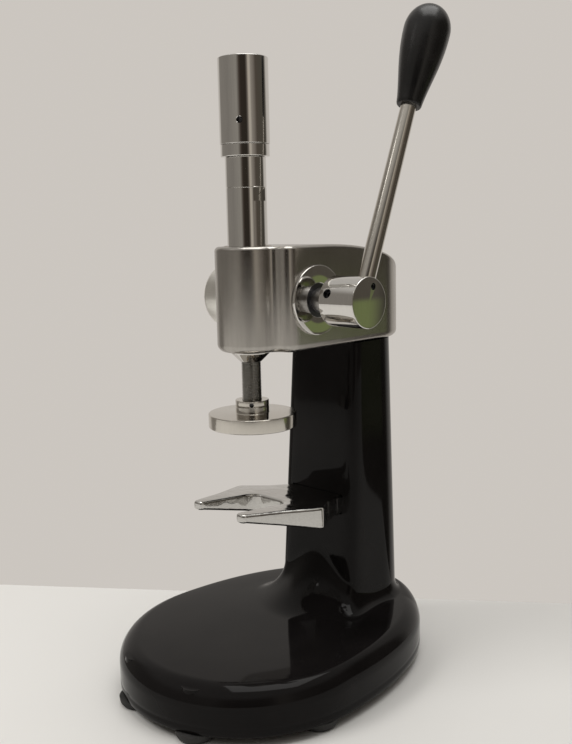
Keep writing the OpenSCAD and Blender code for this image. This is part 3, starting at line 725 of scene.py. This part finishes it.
def make_plunger():
    """The rod: a fine thread up to the ram, a plain shank and the head under the spring."""
    r, head_r = 6.5, (ROD_HI.x - ROD_LO.x) / 2 / MM
    z0, z1 = ROD_LO.z / MM, ROD_HI.z / MM
    shoulder = z1 - 13.6
    thread_top = TUBE_LO.z / MM + 14
    rings = [circle(r - 1, z0), circle(r - 0.1, z0 + 0.9)]
    rings += thread_rings(r, 0.5, 1.0, z0 + 1, thread_top)
    guide_r = 5.4                   # the end that centres the spring
    rings += [circle(r, thread_top + 0.2), circle(r, shoulder - 1),
              circle(head_r - 0.2, shoulder + 0.05), circle(head_r, shoulder + 0.3),
              circle(head_r, shoulder + 5.7), circle(head_r - 0.3, shoulder + 6),
              circle(guide_r, shoulder + 6), circle(guide_r, z1 - 0.6), circle(guide_r - 0.6, z1)]
    rod = loft("plunger_rod", rings, ON_RAM)
    place_piece(rod, "plunger", "plunger_rod", material_of("plunger_rod"))


def make_ram():
    """The ram tube: bevelled nose, spanner flats, a groove, the rack and the cap's thread."""
    r, z0, z1 = 13.0, TUBE_LO.z / MM, TUBE_HI.z / MM
    thread_z, thread_r, bore, chamber_r, chamber_z = 347.3, 12.0, 6.56, 9.5, 308.0
    groove_z, flat_z, flat_h, bevel, neck_r = 328.5, 320.0, 8.5, 5.75, thread_r - 1
    profile = [(bore, z0, 0.2), (r - bevel, z0, 0.3), (r, z0 + bevel, 0.4),
               (r, groove_z - 0.35, 0.05), (r - 0.45, groove_z, 0.05), (r, groove_z + 0.35, 0.05),
               (r, thread_z, 0.5), (neck_r, thread_z, 0), (neck_r, thread_z + 2, 0),
               (chamber_r, thread_z + 2, 0), (chamber_r, chamber_z, 0), (bore, chamber_z, 0)]
    tube = lathe("ram_tube", profile, ON_RAM, 192, 5, closed=True)
    module, pitch_y, slope = 1.5, RAM_Y / MM + 10.5, math.tan(math.radians(20))
    pitch = math.pi * module
    tip_y, root_y = pitch_y + module, pitch_y - 1.25 * module
    tip_half = pitch / 4 - module * slope - 0.08
    root_half = pitch / 4 + 1.25 * module * slope - 0.08
    centre, below, above, behind = SHAFT_Z / MM, 3, 11, RAM_Y / MM + 20
    rack_lo, rack_hi = centre - (below + 0.5) * pitch, centre + (above + 0.5) * pitch
    outline = [(behind, rack_lo), (tip_y, rack_lo)]
    for k in range(-below, above + 1):
        z = centre + k * pitch
        outline += [(root_y, z - root_half), (tip_y, z - tip_half)]
        outline += [(tip_y, z + tip_half), (root_y, z + root_half)]
    outline += [(tip_y, rack_hi), (behind, rack_hi)]
    cutters = [prism(outline, "X", -15, 15)]
    for side in (-1, 1):
        lo = (min(12 * side, 17 * side) * MM, RAM_Y - 20 * MM, flat_z * MM)
        hi = (max(12 * side, 17 * side) * MM, RAM_Y + 20 * MM, (flat_z + flat_h) * MM)
        cutters.append(block(lo, hi))
    boolean(tube, cutters, "DIFFERENCE", 25)
    around = 96
    outer = thread_rings(thread_r, 0.75, 1.5, thread_z - 0.01, z1 - 1, 8, around)
    rings = [circle(chamber_r, thread_z + 1.99, around)] + outer
    rings += [circle(neck_r, z1, around), circle(chamber_r, z1, around)]
    verts = [p for ring in rings for p in ring]
    faces = []
    for k in range(len(rings)):
        low, high = k * around, (k + 1) % len(rings) * around
        for i in range(around):
            j = (i + 1) % around
            faces.append([low + i, low + j, high + j, high + i])
    thread = new_piece("ram_thread", verts, faces, ON_RAM)
    place_piece(joined(tube, thread), "ram", "ram_tube", material_of("ram_tube"))


def make_cap():
    """The pressure cap with its countersunk tommy-bar hole."""
    lo, hi, r = CAP_LO.z / MM, CAP_HI.z / MM, (CAP_HI.x - CAP_LO.x) / 2 / MM
    bore, roof, hole_z, hole_deg = 12.04, 6.5, lo + 13.9, -54
    profile = [(0, hi, 0), (r, hi, 0.55), (r, lo, 0.45), (bore, lo, 0.3), (bore, hi - roof, 0),
               (0, hi - roof, 0)]
    cap = lathe("pressure_cap", profile, ON_RAM, 192)
    turn = Matrix.Rotation(math.radians(hole_deg), 4, "Z") @ Matrix.Rotation(math.pi / 2, 4, "Y")
    hole = ON_RAM @ Matrix.Translation((0, 0, hole_z * MM)) @ turn
    hole_r, sink_r = 1.85, 2.5
    sink = [(0, r - 0.35, 0), (hole_r, r - 0.35, 0), (sink_r, r + 0.3, 0), (sink_r, r + 2, 0),
            (0, r + 2, 0)]
    bar_hole = drill(hole_r, 10, hole @ Matrix.Translation((0, 0, 12.4 * MM)), 40)
    boolean(cap, [bar_hole, lathe("cutter", sink, hole, 40)])
    # painted shade inside the tommy-bar hole
    place_piece(cap, "cap", "pressure_cap", material_of("pressure_cap"), [(hole, 2.0, 12.2, r - 0.5)])


def ring_part(node, body, profile, place, segments=160):
    """A turned ring that stands for a CAD node."""
    place_piece(lathe(node, profile, place, segments, 5, closed=True), body, node, material_of(node))


def make_lock_ring():
    lo, hi = (v.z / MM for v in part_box("cap_lock_ring"))
    ring_part("cap_lock_ring", "lock_ring",
              [(12.04, hi, 0.2), (15.5, hi, 0.4), (15.5, lo, 0.5), (12.04, lo, 0.2)], ON_RAM, 192)


def make_disc_and_nut():
    """The tamper disc with its boss, and the lock nut above it."""
    lo, hi, r = DISC_LO.z / MM, DISC_HI.z / MM, (DISC_HI.x - DISC_LO.x) / 2 / MM
    boss_r, boss_h, bore, bore_z = 11, 4.5, 6.54, lo + 1.5
    rim = hi - boss_h
    profile = [(0, lo, 0), (r, lo, 0.9), (r, rim, 0.7), (boss_r, rim, 0.5), (boss_r, hi, 0.4),
               (bore, hi, 0.3), (bore, bore_z, 0), (0, bore_z, 0)]
    disc = lathe("tamper_disc", profile, ON_RAM, 224)
    place_piece(disc, "disc", "tamper_disc", material_of("tamper_disc"))
    lo, hi = (v.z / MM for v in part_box("lock_nut"))
    profile = [(bore, hi, 0.3), (boss_r, hi, 0.5), (boss_r, lo, 0.4), (bore, lo, 0.3)]
    nut = lathe("lock_nut", profile, ON_RAM, 160, 5, closed=True)
    turn = Matrix.Rotation(math.radians(-45), 4, "Z") @ Matrix.Rotation(math.pi / 2, 4, "Y")
    hole = ON_RAM @ Matrix.Translation((0, 0, (lo + 1.7) * MM)) @ turn
    boolean(nut, [drill(1.5, 6, hole @ Matrix.Translation((0, 0, 8 * MM)), 32)])
    # painted shade inside the nut's radial hole
    place_piece(nut, "nut", "lock_nut", material_of("lock_nut"), [(hole, 1.6, 7, boss_r - 0.2)])


def make_hub():
    """The lever's hub: the shaft's bore, the rod's socket and the holes of the two screws."""
    x0, x1, r = HUB_LO.x / MM, HUB_HI.x / MM, (HUB_HI.y - HUB_LO.y) / 2 / MM
    bore, bore_end = 8.01, x0 + 16.1
    profile = [(0, bore_end, 0), (bore, bore_end, 0), (bore, x0, 0.3), (r - 1.6, x0, 0.3),
               (r, x0 + 1.6, 0.4), (r, x1, 0.6), (0, x1, 0)]
    hub = lathe("lever_hub", profile, ON_SHAFT, 192)
    socket = drill(5.65, 20, ON_LEVER @ Matrix.Translation((0, 0, 3 * MM)), 64)
    along_x = Matrix.Rotation(math.pi / 2, 4, "Y")
    face_place = ON_LEVER @ Matrix.Translation((-2 * MM, 0, 10.5 * MM)) @ along_x
    face_hole = drill(2.2, 12, face_place, 40)
    forwards = Matrix.Rotation(math.pi / 2 - LEVER_LEAN, 4, "X")
    radial = Matrix.Translation((55.5 * MM, SHAFT_Y, SHAFT_Z)) @ forwards
    boolean(hub, [socket, face_hole, drill(3, 20, radial, 48)])
    # painted shade inside the radial screw hole and the face screw hole
    place_piece(hub, "lever", "lever_hub", material_of("lever_hub"),
                [(radial, 3.1, 4, r - 0.7), (face_place, 2.3, 0, 8.8)])


def make_shaft():
    """Pinion shaft: a journal through the head, then a thicker end that goes into the hub."""
    x0, x1 = SHAFT_LO.x / MM, SHAFT_HI.x / MM
    r, collar_x, collar_r = 7.0, x1 - 28.1, 8.0
    profile = [(0, x0, 0), (r, x0, 0.5), (r, collar_x, 0.2), (collar_r, collar_x, 0.5),
               (collar_r, x1, 0.5), (0, x1, 0)]
    shaft = lathe("pinion_shaft", profile, ON_SHAFT, 128)

    def slit(x_lo, x_hi, half_y, z_lo, z_hi):
        return block((x_lo * MM, SHAFT_Y - half_y * MM, SHAFT_Z + z_lo * MM),
                     (x_hi * MM, SHAFT_Y + half_y * MM, SHAFT_Z + z_hi * MM))

    spring_slot = slit(x0 - 1, x0 + 13, 8, -0.5, 0.5)
    key_seat = slit(-6.05, 6.05, 1.5, 4.5, 9)
    boolean(shaft, [spring_slot, key_seat])
    place_piece(shaft, "lever", "pinion_shaft", material_of("pinion_shaft"))


def make_escutcheon():
    """The flat polished ring round the shaft."""
    lo, hi = (v.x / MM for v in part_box("escutcheon"))
    profile = [(11, lo, 0), (11, hi, 0.4), (22.5, hi, 0.6), (22.5, lo, 0)]
    ring_part("escutcheon", "stand", profile, ON_SHAFT, 192)


def make_spring_cover():
    """The cover on the left of the head, with three sunk screw holes."""
    lo, hi = (v.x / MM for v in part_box("spring_cover"))
    profile = [(0, lo, 0), (22.5, lo, 4), (22.5, hi, 0.3), (16.4, hi, 0.3), (16.4, lo + 2.5, 0.5),
               (0, lo + 2.5, 0)]
    cover = lathe("spring_cover", profile, ON_SHAFT, 160, 8)
    cutters, screw_circle = [], 18.2
    for deg in (30, 150, 270):
        a = math.radians(deg)
        y, z = screw_circle * MM * math.cos(a), screw_circle * MM * math.sin(a)
        spot = ON_SHAFT @ Matrix.Translation((y, z, lo * MM - MM))
        cutters += [drill(1.6, 25, spot, 32), drill(2.9, 3.1, spot, 40)]
    boolean(cover, cutters)
    place_piece(cover, "stand", "spring_cover", material_of("spring_cover"))


def make_lever():
    """The lever's rod and its pear-shaped grip."""
    length, grip = 198.0, 68.5
    start = length - grip
    profile = [(0, 3.2, 0), (5.6, 3.2, 0.4), (5.6, 16, 0), (5.0, start, 0), (5.0, start + 40, 0.4),
               (0, start + 40, 0)]
    rod = lathe("lever_rod", profile, ON_LEVER, 96)
    side = Matrix.Translation((MM, 0, 10.5 * MM)) @ Matrix.Rotation(math.pi / 2, 4, "Y")
    boolean(rod, [drill(2.2, 12, ON_LEVER @ side, 40)])
    place_piece(rod, "lever", "lever_rod", material_of("lever_rod"))
    belly = 51.0
    pear = [(0, 40.2, 0), (5.02, 40.2, 0), (5.02, 0, 0.3), (7.6, 0, 0.8)]
    for i in range(1, 41):
        s = belly * i / 40
        pear.append((8 + 7 * math.sin(math.pi / 2 * s / belly) ** 1.35, s, 0))
    for i in range(1, 32):
        a = math.pi / 2 * i / 32
        pear.append((15 * math.cos(a), belly + (grip - belly) * math.sin(a), 0))
    pear.append((0, grip, 0))
    handle = lathe("lever_grip", [(r, start + s, e) for r, s, e in pear], ON_LEVER, 128)
    place_piece(handle, "lever", "lever_grip", material_of("lever_grip"))


def make_pressure_spring():
    """The coil spring over the plunger."""
    lo, hi = (v.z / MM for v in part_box("pressure_spring"))
    coil_r, wire_r, turns, per_turn, around = 7.2, 1.25, 11, 40, 12
    rings = []
    for i in range(turns * per_turn + 1):
        a, t = 2 * math.pi * i / per_turn, i / (turns * per_turn)
        z = lo + wire_r + (hi - lo - 2 * wire_r) * t
        ring = []
        for k in range(around):
            b = 2 * math.pi * k / around
            r = coil_r + wire_r * math.cos(b)
            ring.append((r * math.cos(a) * MM, r * math.sin(a) * MM, (z + wire_r * math.sin(b)) * MM))
        rings.append(ring)
    spring = loft("pressure_spring", rings, ON_RAM, 60)
    place_piece(spring, "ram", "pressure_spring", material_of("pressure_spring"))
    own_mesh(spring)


make_stand()
make_head()
make_fork()
make_feet()
make_plunger()
make_ram()
make_cap()
make_lock_ring()
make_disc_and_nut()
make_hub()
make_shaft()
make_escutcheon()
make_spring_cover()
make_lever()
make_pressure_spring()

for name, obj in frame["nodes"].items():
    obj.data.materials.clear()
    obj.data.materials.append(material_of(name))


# ---- stage, lights and camera ----------------------------------------------------------

def plain(name, color):
    """A matt surface with a barely uneven tone."""
    mat, nodes, links, bsdf, where = shader(name, color, 0, 0.6)
    cloud = noise(nodes, links, where, 3, detail=3)
    shade_by = tuple(0.985 * c for c in color)
    links.new(tint(nodes, links, cloud, shade_by, color), bsdf.inputs["Base Color"])
    return mat


def make_stage():
    """A pale table whose far edge runs behind the object."""
    far_left, far_right = Vector((-0.274, -0.050)), Vector((0.079, 0.219))
    along = (far_right - far_left).normalized()
    back = Vector((-along.y, along.x))
    middle = (far_left + far_right) / 2
    half_w, depth, edge_r, drop = 1.8, 2.6, 0.006, 0.04
    line = [(-depth, 0.0)]
    for k in range(7):
        a = math.pi / 2 * k / 6
        line.append((-edge_r + edge_r * math.sin(a), -edge_r * (1 - math.cos(a))))
    line.append((0.0, -drop))
    verts = []
    for y, z in line:
        for x in (-half_w, half_w):
            flat = middle + along * x + back * y
            verts.append((flat.x, flat.y, z))
    faces = [[2 * k, 2 * k + 1, 2 * k + 3, 2 * k + 2] for k in range(len(line) - 1)]
    table = new_piece("table", verts, faces, sharp_deg=180)
    table.data.materials.append(plain("table", (0.72, 0.715, 0.70)))


def area_light(name, place, target, size, power, color=(1, 1, 1)):
    data = bpy.data.lights.new(name, "AREA")
    data.shape = "RECTANGLE"
    data.size, data.size_y = size
    data.energy = power
    data.color = color
    light = bpy.data.objects.new(name, data)
    bpy.context.scene.collection.objects.link(light)
    light.location = place
    light.rotation_euler = (Vector(target) - Vector(place)).to_track_quat("-Z", "Y").to_euler()
    return light


WALL = (0.60, 0.565, 0.525)
ROOM = [                        # bearing in degrees from the photographer's side, colour
    (-180, WALL), (-140, WALL),
    (-128, (0.26, 0.24, 0.215)), (-75, (0.24, 0.222, 0.20)), (-30, (0.30, 0.28, 0.25)),
    (-17, (0.07, 0.055, 0.045)), (-10, (0.035, 0.028, 0.022)), (12, (0.032, 0.026, 0.02)),
    (19, (0.16, 0.14, 0.12)), (25, (0.52, 0.47, 0.40)), (31, (0.50, 0.46, 0.40)),
    (37, (0.30, 0.27, 0.235)), (50, (0.20, 0.175, 0.15)), (60, (0.09, 0.075, 0.06)),
    (84, (0.085, 0.075, 0.06)), (98, (0.09, 0.08, 0.065)), (104, (0.05, 0.045, 0.036)),
    (114, (0.10, 0.09, 0.075)), (124, (0.55, 0.52, 0.48)),
    (131, WALL), (180, WALL)]
GARDEN = (0.17, 0.20, 0.085)    # a green patch, low down on the lever's side
GARDEN_BEARING = (84, 99)       # degrees
GARDEN_HEIGHT = (-0.2, -0.07)   # height of the ray's direction


def green_patch(nodes, links, bearing, height, color):
    """Mixes the green patch into the room's colour over a window of bearing and height."""
    window = None
    turns = [0.5 + degrees / 360 for degrees in GARDEN_BEARING]
    soft = 0.015
    for value, (low, high) in ((bearing, turns), (height, GARDEN_HEIGHT)):
        for edge, side in ((low, 1), (high, -1)):
            step = nodes.new("ShaderNodeMapRange")
            step.interpolation_type = "SMOOTHSTEP"
            step.inputs["From Min"].default_value = edge - side * soft
            step.inputs["From Max"].default_value = edge + side * soft
            links.new(value, step.inputs["Value"])
            if window is None:
                window = step.outputs["Result"]
                continue
            both = nodes.new("ShaderNodeMath")
            both.operation = "MULTIPLY"
            links.new(window, both.inputs[0])
            links.new(step.outputs["Result"], both.inputs[1])
            window = both.outputs["Value"]
    mix = nodes.new("ShaderNodeMix")
    mix.data_type = "RGBA"
    mix.inputs["B"].default_value = (*GARDEN, 1)
    links.new(window, mix.inputs["Factor"])
    links.new(color, mix.inputs["A"])
    return mix.outputs["Result"]


def make_world():
    """A plain pale surround; what the metal reflects is a room with darker and lighter sides."""
    world = bpy.data.worlds.new("room")
    bpy.context.scene.world = world
    world.use_nodes = True
    nodes, links = world.node_tree.nodes, world.node_tree.links
    coord = nodes.new("ShaderNodeTexCoord")
    turn = nodes.new("ShaderNodeMapping")
    turn.vector_type = "POINT"
    turn.inputs["Rotation"].default_value = (0, 0, math.radians(90 - CAMERA_YAW_DEG))
    links.new(coord.outputs["Generated"], turn.inputs["Vector"])
    radial = nodes.new("ShaderNodeTexGradient")
    radial.gradient_type = "RADIAL"
    links.new(turn.outputs["Vector"], radial.inputs["Vector"])
    ramp = nodes.new("ShaderNodeValToRGB")
    while len(ramp.color_ramp.elements) < len(ROOM):
        ramp.color_ramp.elements.new(0.5)
    for stop, (bearing, color) in zip(ramp.color_ramp.elements, ROOM):
        stop.position = 0.5 + bearing / 360
    for stop, (bearing, color) in zip(ramp.color_ramp.elements, ROOM):
        stop.color = (*color, 1)
    links.new(radial.outputs["Fac"], ramp.inputs["Fac"])
    parts = nodes.new("ShaderNodeSeparateXYZ")
    links.new(coord.outputs["Generated"], parts.inputs["Vector"])
    height = nodes.new("ShaderNodeMapRange")
    height.interpolation_type = "SMOOTHSTEP"
    height.inputs["From Min"].default_value = 0.45
    height.inputs["From Max"].default_value = 0.75
    links.new(parts.outputs["Z"], height.inputs["Value"])
    over = nodes.new("ShaderNodeMix")
    over.data_type = "RGBA"
    over.inputs["B"].default_value = (0.55, 0.53, 0.50, 1)
    links.new(height.outputs["Result"], over.inputs["Factor"])
    bearing, up, color = radial.outputs["Fac"], parts.outputs["Z"], ramp.outputs["Color"]
    links.new(green_patch(nodes, links, bearing, up, color), over.inputs["A"])
    room = nodes["Background"]
    links.new(over.outputs["Result"], room.inputs["Color"])
    room.inputs["Strength"].default_value = 1.0
    seen = nodes.new("ShaderNodeBackground")
    seen.inputs["Color"].default_value = (*WALL, 1)
    seen.inputs["Strength"].default_value = 1.0
    path = nodes.new("ShaderNodeLightPath")
    mix = nodes.new("ShaderNodeMixShader")
    links.new(path.outputs["Is Camera Ray"], mix.inputs["Fac"])
    links.new(room.outputs["Background"], mix.inputs[1])
    links.new(seen.outputs["Background"], mix.inputs[2])
    links.new(mix.outputs["Shader"], nodes["World Output"].inputs["Surface"])


def make_camera():
    """The camera, set from its place, heading, pitch and roll, with the lens for a 36 mm film."""
    place, lens = Vector((0.4356, -0.4187, 0.3042)), 44.24
    yaw, pitch, roll = math.radians(CAMERA_YAW_DEG), math.radians(9.086), math.radians(-1.27)
    ahead = Vector((-math.sin(yaw) * math.cos(pitch), math.cos(yaw) * math.cos(pitch), -math.sin(pitch)))
    right = ahead.cross(Vector((0, 0, 1))).normalized()
    up = right.cross(ahead)
    x_axis = math.cos(roll) * right + math.sin(roll) * up
    y_axis = -math.sin(roll) * right + math.cos(roll) * up
    data = bpy.data.cameras.new("camera")
    data.lens = lens
    data.sensor_width = 36
    data.clip_start = 0.01
    camera = bpy.data.objects.new("camera", data)
    bpy.context.scene.collection.objects.link(camera)
    turn = Matrix((x_axis, y_axis, -ahead)).transposed()
    camera.matrix_world = Matrix.Translation(place) @ turn.to_4x4()
    bpy.context.scene.camera = camera


make_stage()
make_world()
make_camera()
key = area_light("key", (-0.7, -1.2, 1.7), (0, 0, 0.15), (0.8, 0.8), 17, (1.0, 0.98, 0.95))
key.visible_glossy = False
area_light("top", (0.2, 0.2, 2.0), (0, 0, 0.2), (1.4, 1.4), 17, (1.0, 0.99, 0.97))
area_light("glint", (-0.5, -1.2, 1.5), (0, 0, 0.15), (0.16, 0.16), 0.25, (1.0, 0.98, 0.95))
bpy.context.scene.view_settings.view_transform = "Standard"

bpy.context.view_layer.update()
